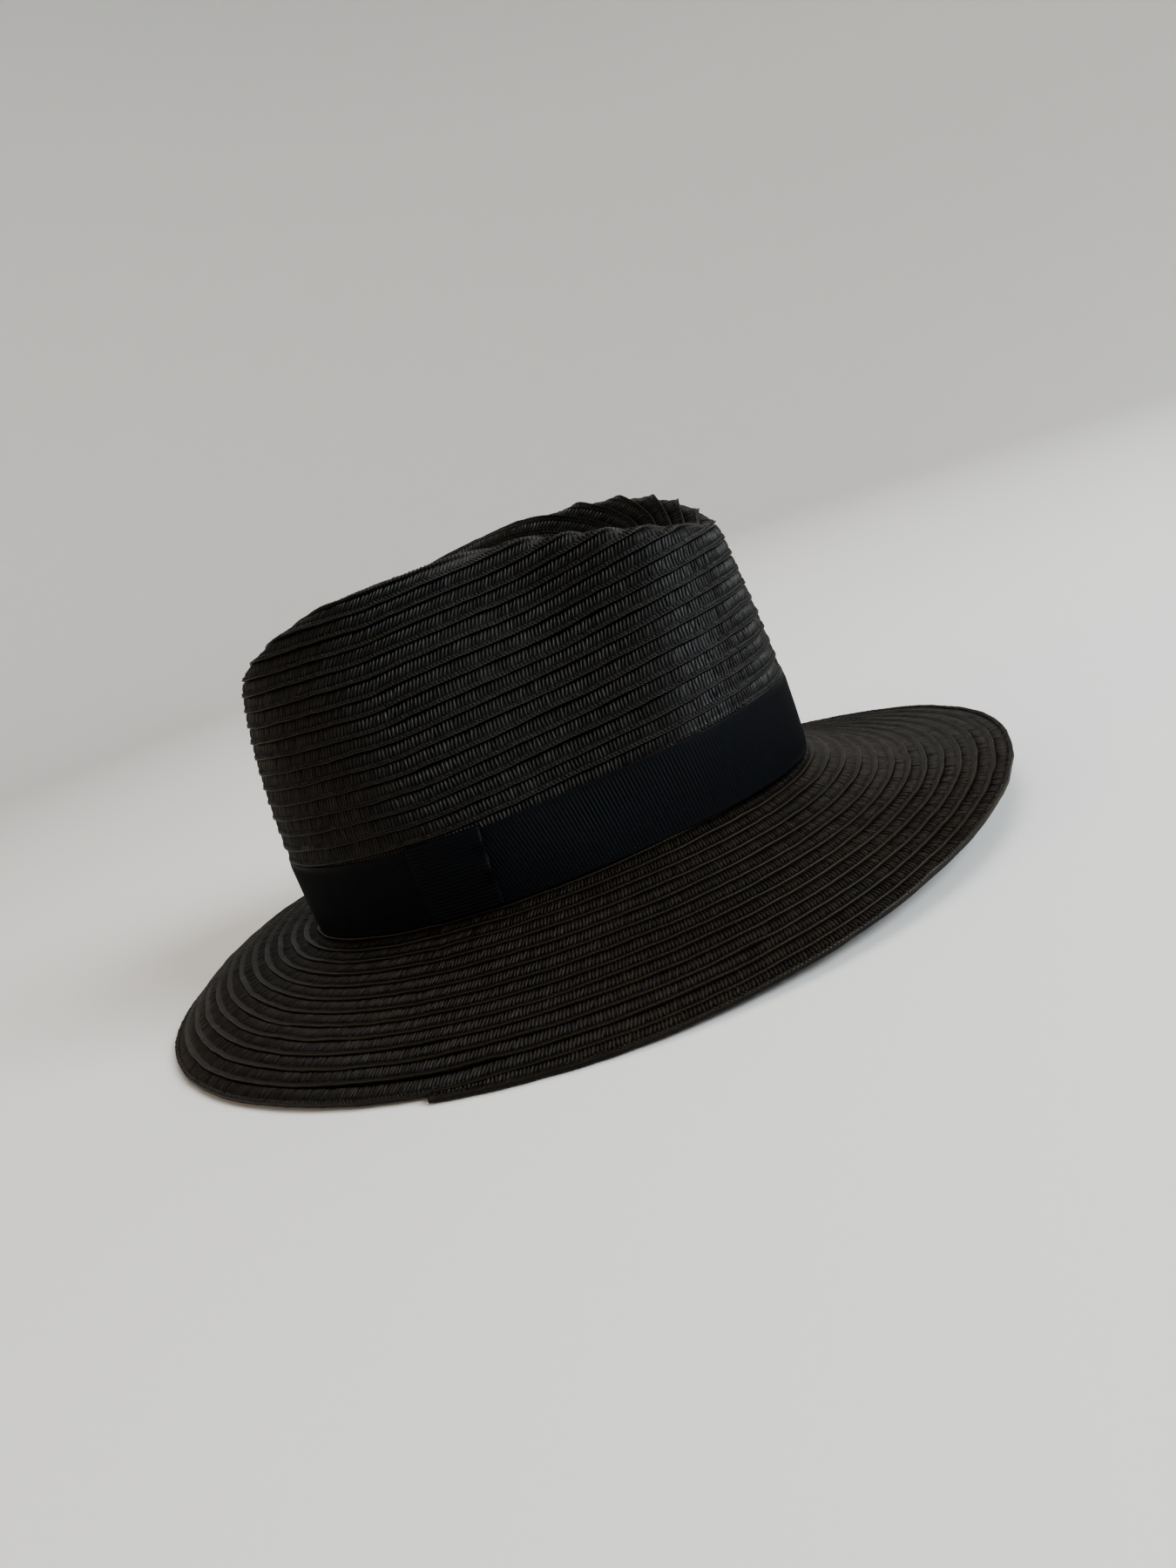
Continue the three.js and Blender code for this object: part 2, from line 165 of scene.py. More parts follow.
def crown_line(angle):
    """Points from below the head line up the wall, over the crest and down to the tip, with lengths."""
    drop = LEFT_DROP * math.exp(-((TURN - angle - LEFT_DROP_AT) / LEFT_DROP_LENGTH) ** 2)
    top = float(around(CREST, angle)) + LEFT_CREST_RISE * float(beside_dent(angle)) - drop
    wall_steps = math.ceil(top - WALL_FOOT)
    wall = wall_point(angle, WALL_FOOT + (top - WALL_FOOT) * np.arange(wall_steps + 1) / wall_steps)
    t = np.arange(1, DENT_STEPS + 1)[:, None] / DENT_STEPS
    dent = wall[-1] * (1 - t) + np.array([0, -TIP_HALF_LENGTH * math.cos(angle), 0]) * t
    sink = np.sin(math.pi / 2 * t[:, 0])
    dent[:, 2] = top * (1 - sink) + column(VALLEY, "y", "up", dent[:, 1]) * sink
    raw = np.concatenate([wall, dent])
    last = len(raw) - 1
    points = np.array([raw[i - r:i + r + 1].mean(0)
                       for i in range(last + 1) for r in [min(CREST_SOFTNESS, i, last - i)]])
    length = np.concatenate([[0], np.cumsum(np.linalg.norm(np.diff(points, axis=0), axis=1))])
    length -= np.interp(0, points[:wall_steps, 2], length[:wall_steps])
    return points, length, wall_steps


# ---- the hat's surfaces as grids that the rows of braid are laid on ---------------------------------
class Surface:
    """Points and outward directions by angle around the hat and by distance in towards the tip."""

    def __init__(self, first, step, points, level_from=None):
        self.first, self.step, self.points = first, step, points
        around_hat = np.roll(points, -1, 0) - np.roll(points, 1, 0)
        inward = np.gradient(points, axis=1)
        normals = np.cross(inward, around_hat)
        normals /= np.maximum(np.linalg.norm(normals, axis=2, keepdims=True), 1e-9)
        if level_from is not None:
            k = int((level_from - first) / step)
            normals[:, k:] = normals[:, k:k + 1]
        self.normals = normals

    def at(self, angle, inward, off=0.0):
        """Points at these angles and distances, standing off the surface, in millimetres."""
        n, m = self.points.shape[:2]
        a = np.mod(angle, TURN) / TURN * n
        b = np.clip((np.asarray(inward, float) - self.first) / self.step, 0, m - 1.001)
        i, j = np.floor(a).astype(int), np.floor(b).astype(int)
        s, t = (a - i)[..., None], (b - j)[..., None]
        i, i2 = i % n, (i + 1) % n
        both = []
        for grid in (self.points, self.normals):
            both.append((grid[i, j] * (1 - s) + grid[i2, j] * s) * (1 - t)
                        + (grid[i, j + 1] * (1 - s) + grid[i2, j + 1] * s) * t)
        return both[0] + both[1] * np.asarray(off, float)[..., None]


AROUND = 720
ANGLES = TURN * np.arange(AROUND) / AROUND
GRID_STEP = 0.5
CROWN_GRID_FROM = -6.0
BRIM_GRID_TO = 80.5
TIP_AT = 180.0  # rows are counted as if every line from the head line to the tip were this long
LEVEL_TIP = 6.0  # the last stretch before the tip shares one outward direction
CROWN_FIRST_ROW = 180.6
BRIM_FIRST_ROW = 0.2


def at_angles(angle, values):
    """Looks up values that are given one for each of ANGLES."""
    return np.interp(np.mod(angle, TURN), np.append(ANGLES, TURN), np.append(values, values[0]))


def crown_surface():
    """The crown's surface, and how far up each line the crest is."""
    inward = np.arange(CROWN_GRID_FROM, TIP_AT + GRID_STEP / 2, GRID_STEP)
    lines, crests = [], []
    for angle in ANGLES:
        points, length, crest_index = crown_line(angle)
        crest = length[crest_index]
        crests.append(crest)
        squeezed = crest + (inward - crest) * (length[-1] - crest) / (TIP_AT - crest)
        true = np.where(inward < crest, inward, squeezed)
        lines.append(np.stack([np.interp(true, length, points[:, k]) for k in range(3)], -1))
    surface = Surface(inward[0], GRID_STEP, stand(np.array(lines)), level_from=TIP_AT - LEVEL_TIP)
    return surface, np.array(crests)


def brim_height(angle, out):
    """Height of the brim's underside."""
    names = ("front", "front_quarter", "side", "back_quarter", "back")
    rows = {"out": BRIM["out"],
            "under": [around([BRIM[n][i] for n in names], angle) for i in range(len(BRIM["out"]))]}
    return column(rows, "out", "under", out)


def brim_surface():
    out = np.arange(0.0, BRIM_GRID_TO + GRID_STEP, GRID_STEP)
    lines = []
    for angle in ANGLES:
        root = np.array([-HEAD_HALF_WIDTH * math.sin(angle), -HEAD_HALF_LENGTH * math.cos(angle)])
        outward = root / np.array([HEAD_HALF_WIDTH, HEAD_HALF_LENGTH]) ** 2
        outward /= np.linalg.norm(outward)
        spread = 1 - BACK_TIGHTER * max(0.0, -math.cos(angle)) ** 2
        height = brim_height(angle, out)
        steps = np.sqrt(np.maximum((GRID_STEP * spread) ** 2 - np.diff(height) ** 2, 0))
        flat = np.concatenate([[0], np.cumsum(steps)])
        line = np.zeros((len(out), 3))
        line[:, :2] = root + outward * flat[:, None]
        line[:, 1] += SET_BACK
        line[:, 2] = np.maximum(height, 0) + STRAW
        lines.append(line[::-1])
    return Surface(-out[-1], GRID_STEP, np.array(lines))


# ---- rows of braid ----------------------------------------------------------------------------------
# One row across, from its outer edge inwards: distance in, and height off the hat's surface.
ROW_OVER = {
    "crown": ((0.12, -0.50), (0.0, 0.55), (0.05, 0.96), (0.18, 1.18), (0.38, 1.10), (0.60, 0.66),
              (1.05, 0.62), (1.55, 0.46), (1.80, 0.20), (3.60, 0.06), (5.95, -0.24), (6.60, -0.50)),
    "brim": ((0.12, -0.50), (0.0, 0.30), (0.05, 0.66), (0.20, 0.84), (0.42, 0.84), (0.60, 0.62),
             (1.00, 0.72), (1.40, 0.52), (1.75, 0.12), (3.80, 0.12), (5.95, -0.05), (6.60, -0.50)),
}
# Where the brim's edge has no row beyond it, the row rounds down.
OPEN_EDGE = ((0.35, -1.25), (-0.05, -0.60), (0.0, 0.30))
OPEN_EDGE_SHADE = 3.15  # its own face takes the painted shade of a row's bed, as if it were this far in
ROW_UNDER = ((0.4, -1.15), (1.0, -1.35), (5.6, -1.72), (6.35, -1.78), (6.6, -1.5), (6.5, -1.0))
ROW_STEP, INNER_STEP = 1.8, 3.5  # between the points along a row
# Cross strands: where over a row they start and end, their spacing, width and height.
STRANDS_OVER = {"crown": (1.90, 5.80, 1.42, 1.20, 0.70), "brim": (2.15, 6.0, 1.22, 1.14, 0.50)}
# A second set leans the other way, along the cord of the crown's rows and on the brim's outermost row.
LIP_STRANDS_OVER = {"crown": (0.55, 1.80, 1.42, 1.12, 0.50), "brim": (0.10, 1.9, 1.42, 1.24, 0.60)}
STRAND_LEAN = {"crown": 0.24, "brim": 0.14}  # radians
LIP_LEAN = {"crown": -0.75, "brim": -0.6}
UNEVEN = {"crown": 0.13, "brim": 0.17}
STRAND_TUCK = 0.35  # each strand is longer than the stretch that it lies over
STRAND_PITCH = 1.42
LEAST_ROOM = 0.6
# How a row's edge and its swell vary along it: spacing and size of each wave.
EDGE_WANDER = ((12, 0.17), (4.1, 0.08))
SWELL_WANDER = ((8, 0.10), (3, 0.06))
# Rows stand up higher near the left crest's high spot, and are pressed flat under the ribbon.
PLEAT, PLEAT_BELOW_CREST, PLEAT_LENGTH = 0.6, 2, 13
PRESSED, PRESS_LENGTH = 0.35, 2.5
# The end of the braid is tucked in under the row before it, which is let out there.
END_TUCK, TUCK_LENGTH = 1.5, 0.11  # millimetres, and turns of the braid
END_SPREAD, SPREAD_LENGTH, SPREAD_START = 1.4, 0.06, 0.02
# The outer rows reach out a little more at the back.
BACK_REACH, BACK_AT, BACK_LENGTH, BACK_GROWTH = 1.2, 2.9, 0.45, 5
BAND_TOP_FRONT, BAND_TOP_BACK = 31.5, 35.7  # how far up the wall the ribbon comes
CLEAR_OF_GROUND = 0.02
SMALLEST_FACE = 1e-5


def band_top(angle):
    return BAND_TOP_FRONT + (BAND_TOP_BACK - BAND_TOP_FRONT) * (1 - np.cos(angle)) / 2


def wander(rng, length, spacing, size):
    """A soft random wave along a row."""
    knots = np.arange(-2 * spacing, length[-1] + 2 * spacing, spacing)
    values = rng.normal(0, size, len(knots))
    return np.interp(length, knots, values)


class Spiral:
    """The braid's path: where its outer edge runs, turn after turn, from the inside out."""

    def __init__(self, surface, first_row, turn_from, turn_to, step, seed):
        self.surface = surface
        turns = np.linspace(turn_from, turn_to, int((turn_to - turn_from) * AROUND))
        edge = surface.at(TURN * turns, first_row - ROW_PITCH * turns)
        run = np.concatenate([[0], np.cumsum(np.linalg.norm(np.diff(edge, axis=0), axis=1))])
        self.length = np.linspace(0, run[-1], int(run[-1] / step) + 1)
        self.turns = np.interp(self.length, run, turns)
        self.angle = TURN * self.turns
        self.edge = first_row - ROW_PITCH * self.turns
        self.swell = np.ones(len(self.turns))
        rng = np.random.default_rng(seed)
        for spacing, size in EDGE_WANDER:
            self.edge = self.edge + wander(rng, self.length, spacing, size)
        for spacing, size in SWELL_WANDER:
            self.swell = self.swell + wander(rng, self.length, spacing, size)
        self.lowest = -np.inf  # nothing of a row comes below this

    def finish_crown(self, crest_at):
        """Deep pleats by the high spot of the left crest, and flat rows under the ribbon."""
        crest = at_angles(self.angle, crest_at)
        near = np.exp(-((self.edge + PLEAT_BELOW_CREST - crest) / PLEAT_LENGTH) ** 2)
        self.swell = self.swell + PLEAT * near * beside_dent(self.angle)
        above = (self.edge - band_top(self.angle)) / PRESS_LENGTH
        self.swell = self.swell * np.clip(above + 1, PRESSED, 1)

    def finish_brim(self):
        """The braid's end tucked in, the row that it stops against let out, and the reach at the back."""
        to_end = self.turns[-1] - self.turns
        past = 1 - to_end
        spread = np.where(past < 0, np.exp(-(past / SPREAD_START) ** 2),
                          np.exp(-np.maximum(past, 0) / SPREAD_LENGTH))
        back = np.exp(-((np.mod(self.angle, TURN) - BACK_AT) / BACK_LENGTH) ** 2)
        share = (self.turns / self.turns[-1]) ** BACK_GROWTH
        self.edge = (self.edge + END_TUCK * np.exp(-to_end / TUCK_LENGTH) - END_SPREAD * spread
                     - BACK_REACH * back * share)

    def across(self, inward, off):
        """Points along the whole path, at a distance in from the edge and off the surface."""
        return self.surface.at(self.angle, np.maximum(self.edge + inward, self.lowest), off)


def mesh_object(name, points, faces, material, uv=None):
    mesh = bpy.data.meshes.new(name)
    points = np.asarray(points, float) * MM
    mesh.from_pydata(points.tolist(), [], faces.tolist() if isinstance(faces, np.ndarray) else faces)
    if uv is not None:
        layer = mesh.uv_layers.new(name="braid")
        corner = np.empty(len(mesh.loops), int)
        mesh.loops.foreach_get("vertex_index", corner)
        layer.data.foreach_set("uv", np.asarray(uv, np.float32)[corner].ravel())
    mesh.polygons.foreach_set("use_smooth", [True] * len(mesh.polygons))
    mesh.materials.append(material)
    mesh.update()
    obj = bpy.data.objects.new(name, mesh)
    bpy.context.scene.collection.objects.link(obj)
    return obj


def grid_faces(columns, rows, first=0, flip=False, closed=False):
    """Quads between neighbouring columns of points."""
    i, k = np.meshgrid(np.arange(columns if closed else columns - 1), np.arange(rows - 1), indexing="ij")
    a = first + i * rows + k
    b = first + ((i + 1) % columns) * rows + k
    quads = np.stack([a, a + 1, b + 1, b], -1).reshape(-1, 4)
    return quads[:, ::-1] if flip else quads


def sound(points, faces):
    """Drops the quads that have shrunk to nothing where the braid closes on its own start."""
    p = points[faces]
    area = np.linalg.norm(np.cross(p[:, 2] - p[:, 0], p[:, 3] - p[:, 1]), axis=1)
    return faces[area > SMALLEST_FACE]


def row_strip(spiral, profile, open_from=None, under=False):
    """Columns of points across a row. From the turn open_from on, the edge has no row beyond it."""
    columns = []
    for k, (inward, off) in enumerate(profile):
        height = off * spiral.swell if off > 0 else np.full(len(spiral.length), float(off))
        reach = np.full(len(spiral.length), float(inward))
        if open_from is not None and k < len(OPEN_EDGE):
            is_open = spiral.turns > open_from
            reach = np.where(is_open, OPEN_EDGE[k][0], reach)
            height = np.where(is_open, OPEN_EDGE[k][1], height)
        columns.append(spiral.across(reach, height))
    points = np.stack(columns, 1)
    inward = np.array([p[0] for p in profile])
    uv = np.stack(np.broadcast_arrays((spiral.length / STRAND_PITCH)[:, None], inward[None]), -1)
    if open_from is not None:
        # the open edge's own face is painted with the bed's painted shade
        uv[spiral.turns > open_from, :2, 1] = OPEN_EDGE_SHADE
        closing = spiral.surface.at(np.full(len(profile), spiral.angle[-1]), spiral.edge[-1] + inward,
                                    np.full(len(profile), OPEN_EDGE[0][1]))
        points = np.concatenate([points, closing[None]])
        uv = np.concatenate([uv, uv[-1:]])
    points[..., 2] = np.maximum(points[..., 2], CLEAR_OF_GROUND)
    flat = points.reshape(-1, 3)
    return flat, sound(flat, grid_faces(len(points), len(profile), flip=under)), uv.reshape(-1, 2)


def strand_lines(spiral, profile, low, high, name, turns_from=0.0):
    """The middle line of the cross strands, with the directions that they follow."""
    inward, off = zip(*profile[2:])
    a, b = (spiral.across(t, float(np.interp(t, inward, off))) for t in (low, high))
    across = b - a
    along = np.gradient((a + b) / 2, axis=0)
    facing = np.cross(across, along)
    # at the very tip the rows close up, and there is no room for strands
    keep = (np.linalg.norm(across, axis=1) > LEAST_ROOM * (high - low)) & (spiral.turns > turns_from)
    middle, across, facing = (a + b)[keep] / 2, across[keep], facing[keep]
    across /= np.linalg.norm(across, axis=1, keepdims=True)
    facing /= np.linalg.norm(facing, axis=1, keepdims=True)
    mesh = bpy.data.meshes.new(name)
    n = len(middle)
    mesh.from_pydata((middle * MM).tolist(), [(i, i + 1) for i in range(n - 1)], [])
    for key, values in (("across", across), ("facing", facing)):
        layer = mesh.attributes.new(key, "FLOAT_VECTOR", "POINT")
        layer.data.foreach_set("vector", values.astype(np.float32).ravel())
    obj = bpy.data.objects.new(name, mesh)
    bpy.context.scene.collection.objects.link(obj)
    return obj


# ---- geometry nodes ---------------------------------------------------------------------------------
class Tree:
    """A few short ways to write a node tree."""

    def __init__(self, tree):
        self.tree, self.links = tree, tree.links

    def node(self, kind, inputs=None, **settings):
        node = self.tree.nodes.new(kind)
        for key, value in settings.items():
            setattr(node, key, value)
        for key, value in (inputs or {}).items():
            self.feed(node.inputs[key], value)
        return node

    def feed(self, socket, value):
        if isinstance(value, bpy.types.NodeSocket):
            self.links.new(value, socket)
        elif isinstance(value, bpy.types.Node):
            self.links.new(next(s for s in value.outputs if s.enabled), socket)
        else:
            socket.default_value = value

    def math(self, operation, *values, clamp=False):
        node = self.node("ShaderNodeMath", operation=operation, use_clamp=clamp)
        for i, value in enumerate(values):
            self.feed(node.inputs[i], value)
        return node.outputs[0]


def sockets(tree, inputs=(), outputs=()):
    for way, items in (("INPUT", inputs), ("OUTPUT", outputs)):
        for name, kind, value in items:
            socket = tree.interface.new_socket(name, in_out=way, socket_type="NodeSocket" + kind)
            if value is not None:
                socket.default_value = value


def strand_tree():
    """Short arched strands side by side along a line, leaning a little, each one slightly its own."""
    tree = bpy.data.node_groups.new("cross strands", "GeometryNodeTree")
    tree.is_modifier = True
    sockets(tree, inputs=(("Rows", "Geometry", None), ("Pitch", "Float", 0.0014), ("Width", "Float", 0.0013),
                          ("Length", "Float", 0.004), ("Height", "Float", 0.0004), ("Lean", "Float", 0.3),
                          ("Uneven", "Float", 0.1), ("Seed", "Int", 1), ("Finish", "Material", None)),
            outputs=(("Strands", "Geometry", None),))
    t = Tree(tree)
    given = t.node("NodeGroupInput").outputs
    curve = t.node("GeometryNodeMeshToCurve", {"Mesh": given["Rows"]})
    spaced = t.node("GeometryNodeResampleCurve", {"Curve": curve.outputs[0], "Length": given["Pitch"]},
                    mode="LENGTH")
    stance = t.node("FunctionNodeAxesToRotation", primary_axis="Z", secondary_axis="Y")
    for k, name in enumerate(("facing", "across")):
        way = t.node("GeometryNodeInputNamedAttribute", {"Name": name}, data_type="FLOAT_VECTOR")
        t.feed(stance.inputs[k], way.outputs[0])

    def random(low, high, salt):
        node = t.node("FunctionNodeRandomValue", data_type="FLOAT")
        t.feed(node.inputs[2], low)
        t.feed(node.inputs[3], high)
        t.feed(node.inputs["Seed"], t.math("ADD", given["Seed"], salt))
        return node.outputs[1]

    swing = t.math("MULTIPLY", random(-1.0, 1.0, 11), given["Uneven"])
    angle = t.math("SUBTRACT", swing, given["Lean"])
    by_lean = t.node("FunctionNodeAxisAngleToRotation", {"Axis": (0, 0, 1), "Angle": angle})
    turned = t.node("FunctionNodeRotateRotation",
                    {"Rotation": stance.outputs[0], "Rotate By": by_lean.outputs[0]}, rotation_space="LOCAL")

    def about_one(amount, salt):
        spread = t.math("MULTIPLY", given["Uneven"], amount)
        return t.math("MULTIPLY_ADD", random(-1.0, 1.0, salt), spread, 1.0)

    scale = t.node("ShaderNodeCombineXYZ", {"X": about_one(0.9, 23), "Y": about_one(0.6, 37),
                                            "Z": about_one(2.6, 51)})

    sheet = t.node("GeometryNodeMeshGrid", {"Size X": given["Width"], "Size Y": given["Length"],
                                            "Vertices X": 4, "Vertices Y": 5})
    place = t.node("ShaderNodeSeparateXYZ", {0: t.node("GeometryNodeInputPosition").outputs[0]}).outputs
    side = t.math("DIVIDE", place[0], t.math("MULTIPLY", given["Width"], 0.5))
    end = t.math("DIVIDE", place[1], t.math("MULTIPLY", given["Length"], 0.5))
    fade = t.math("POWER", t.math("ABSOLUTE", end), 4.0)
    arch = t.math("SQRT", t.math("SUBTRACT", 1.0, t.math("MULTIPLY", side, side), clamp=True))
    rise = t.math("MULTIPLY", arch, given["Height"])
    rise = t.math("MULTIPLY", rise, t.math("MULTIPLY_ADD", fade, -0.7, 1.0))
    narrow = t.math("MULTIPLY", place[0], t.math("MULTIPLY_ADD", fade, -0.3, 1.0))
    bent = t.node("ShaderNodeCombineXYZ", {"X": narrow, "Y": place[1], "Z": t.math("SUBTRACT", rise, 0.0001)})
    marked = t.node("GeometryNodeStoreNamedAttribute",
                    {"Geometry": sheet.outputs[0], "Name": "strand", "Value": sheet.outputs["UV Map"]},
                    data_type="FLOAT2", domain="CORNER")
    strand = t.node("GeometryNodeSetPosition", {"Geometry": marked.outputs[0], "Position": bent.outputs[0]})

    laid = t.node("GeometryNodeInstanceOnPoints", {"Points": spaced.outputs[0], "Instance": strand.outputs[0],
                                                   "Rotation": turned.outputs[0], "Scale": scale.outputs[0]})
    tinted = t.node("GeometryNodeStoreNamedAttribute",
                    {"Geometry": laid.outputs[0], "Name": "tint", "Value": random(0.0, 1.0, 67)},
                    data_type="FLOAT", domain="INSTANCE")
    real = t.node("GeometryNodeRealizeInstances", {"Geometry": tinted.outputs[0]})
    smooth = t.node("GeometryNodeSetShadeSmooth", {0: real.outputs[0], "Shade Smooth": True})
    finished = t.node("GeometryNodeSetMaterial", {"Geometry": smooth.outputs[0], "Material": given["Finish"]})
    out = t.node("NodeGroupOutput")
    t.feed(out.inputs[0], finished.outputs[0])
    return tree


def grow(obj, tree, name, values):
    """Runs a tree on an object and keeps the result as a plain mesh."""
    modifier = obj.modifiers.new("tree", "NODES")
    modifier.node_group = tree
    for item in tree.interface.items_tree:
        if item.item_type == "SOCKET" and item.in_out == "INPUT" and item.name in values:
            modifier[item.identifier] = values[item.name]
    bpy.context.view_layer.update()
    evaluated = obj.evaluated_get(bpy.context.evaluated_depsgraph_get())
    mesh = bpy.data.meshes.new_from_object(evaluated)
    mesh.name = name
    made = bpy.data.objects.new(name, mesh)
    bpy.context.scene.collection.objects.link(made)
    bpy.data.objects.remove(obj)
    return made


# ---- finishes ---------------------------------------------------------------------------------------
def group(name, inputs, outputs):
    """A new shader node group: its tree, the sockets that it is given, and a way to give the results."""
    tree = bpy.data.node_groups.new(name, "ShaderNodeTree")
    sockets(tree, inputs, outputs)
    t = Tree(tree)
    out = t.node("NodeGroupOutput")

    def give(**results):
        for key, value in results.items():
            t.feed(out.inputs[key], value)

    return t, t.node("NodeGroupInput").outputs, give


def grain_group():
    """The fine grain of the straw and its slow drift from lighter to darker."""
    t, given, give = group("straw grain", (("Place", "Vector", None),),
                           (("Tone", "Float", None), ("Height", "Float", None)))
    grain = t.node("ShaderNodeTexNoise", {"Vector": given["Place"], "Scale": 900.0, "Detail": 3.0}).outputs[0]
    drift = t.node("ShaderNodeTexNoise", {"Vector": given["Place"], "Scale": 28.0, "Detail": 3.0}).outputs[0]
    tone = t.math("MULTIPLY", t.math("MULTIPLY_ADD", drift, 0.6, 0.7),
                  t.math("MULTIPLY_ADD", grain, 0.6, 0.7))
    give(Tone=tone, Height=t.math("MULTIPLY", grain, 0.3))
    return t.tree


def braid_group():
    """A row of braid: the cord or flat lip at its outer edge, and behind that the place of the cross strands.

    Row Place is how far along the row, in strands, and how far in from its edge, in millimetres.
    """
    t, given, give = group("braid rows", (("Row Place", "Vector", None), ("Strands", "Float", 1.0),
                                          ("Lip Width", "Float", 1.45), ("Twist", "Float", 0.35)),
                           (("Tone", "Float", None), ("Height", "Float", None)))
    place = t.node("ShaderNodeSeparateXYZ", {0: given["Row Place"]}).outputs
    along, inward = place[0], place[1]
    into_bed = t.math("MULTIPLY", t.math("SUBTRACT", inward, given["Lip Width"]), 3.5)
    bed = t.math("ADD", into_bed, 0.5, clamp=True)
    lip = t.math("SUBTRACT", 1.0, bed)
    # the lip is twisted in long slanting turns, and small stitches nick it where the strands begin; both are
    # bumped, and the turns are also painted as light and shade, the nicks as shade
    twist = t.math("SINE", t.math("MULTIPLY", t.math("MULTIPLY_ADD", inward, -0.9, along), TURN))
    stitch = t.math("SINE", t.math("MULTIPLY", t.math("MULTIPLY_ADD", inward, 0.3, along), 3.4 * math.pi))
    from_seam = t.math("ABSOLUTE", t.math("MULTIPLY_ADD", given["Lip Width"], -0.68, inward))
    seam = t.math("SUBTRACT", 1.2, t.math("MULTIPLY", from_seam, 4.0), clamp=True)
    nick = t.math("MULTIPLY", seam, t.math("MULTIPLY_ADD", stitch, 0.35, 0.65))
    # cross strands as light bars with dark gaps of painted shade, where they are not made one by one; where
    # they are, the bed under them is painted dark as their shade
    lean = t.math("MULTIPLY_ADD", inward, 0.29, along)
    bar = t.math("POWER", t.math("ABSOLUTE", t.math("SINE", t.math("MULTIPLY", lean, math.pi))), 0.6)
    bars = t.math("MULTIPLY", bar, given["Strands"])
    # painted light and shade: the lip's tone rises and falls with the turns of the twist
    tone_lip = t.math("MULTIPLY_ADD", t.math("MULTIPLY", twist, given["Twist"]), 0.8, 0.9)
    # painted shade: the bed behind the lip is darkened to a quarter, brighter only on the painted light bars
    tone = t.math("ADD", t.math("MULTIPLY", lip, tone_lip),
                  t.math("MULTIPLY", bed, t.math("MULTIPLY_ADD", bars, 0.75, 0.25)))
    # painted shade: the tone is darkened in the stitch nicks at the seam
    tone = t.math("MULTIPLY", tone, t.math("MULTIPLY_ADD", nick, -0.9, 1.0))
    # the very edge catches the light
    rim = t.math("MULTIPLY", t.math("SUBTRACT", 0.55, inward), 4.0, clamp=True)
    tone = t.math("MULTIPLY", tone, t.math("MULTIPLY_ADD", rim, 1.3, 1.0))
    height = t.math("ADD", t.math("MULTIPLY", t.math("MULTIPLY", twist, lip), given["Twist"]),
                    t.math("MULTIPLY", bars, bed))
    give(Tone=tone, Height=t.math("SUBTRACT", height, nick))
    return t.tree


def strand_group():
    """One cross strand: painted shade at its sides and ends, fibres along it, and its own lighter or darker
    tint.
    """
    t, given, give = group("straw strand", (("Strand Place", "Vector", None), ("Tint", "Float", 0.5)),
                           (("Tone", "Float", None), ("Height", "Float", None)))
    place = t.node("ShaderNodeSeparateXYZ", {0: given["Strand Place"]}).outputs
    tint = given["Tint"]
    side = t.math("ABSOLUTE", t.math("MULTIPLY_ADD", place[0], 2.0, -1.0))
    end = t.math("ABSOLUTE", t.math("MULTIPLY_ADD", place[1], 2.0, -1.0))
    # painted shade: each strand is darkened towards its sides and ends
    shade = t.math("MULTIPLY", t.math("MULTIPLY_ADD", t.math("POWER", side, 4.0), -0.85, 1.0),
                   t.math("MULTIPLY_ADD", t.math("POWER", end, 4.0), -0.9, 1.0))
    across = t.math("MULTIPLY_ADD", tint, 91.0, t.math("MULTIPLY", place[0], 7.0))
    down = t.math("MULTIPLY", place[1], 1.3)
    layer = t.math("MULTIPLY", tint, 37.0)
    spot = t.node("ShaderNodeCombineXYZ", {"X": across, "Y": down, "Z": layer}).outputs[0]
    fibres = t.node("ShaderNodeTexNoise", {"Vector": spot, "Scale": 1.0, "Detail": 2.0}).outputs[0]
    tone = t.math("MULTIPLY", t.math("MULTIPLY_ADD", tint, 1.1, 0.5),
                  t.math("MULTIPLY_ADD", fibres, 1.2, 0.4))
    give(Tone=t.math("MULTIPLY", tone, shade), Height=t.math("MULTIPLY", fibres, 0.5))
    return t.tree


GRAIN, BRAID, STRAND = grain_group(), braid_group(), strand_group()


def new_material(name):
    material = bpy.data.materials.new(name)
    material.use_nodes = True
    material.node_tree.nodes.clear()
    return material, Tree(material.node_tree)


def object_place(t):
    return t.node("ShaderNodeTexCoord").outputs["Object"]


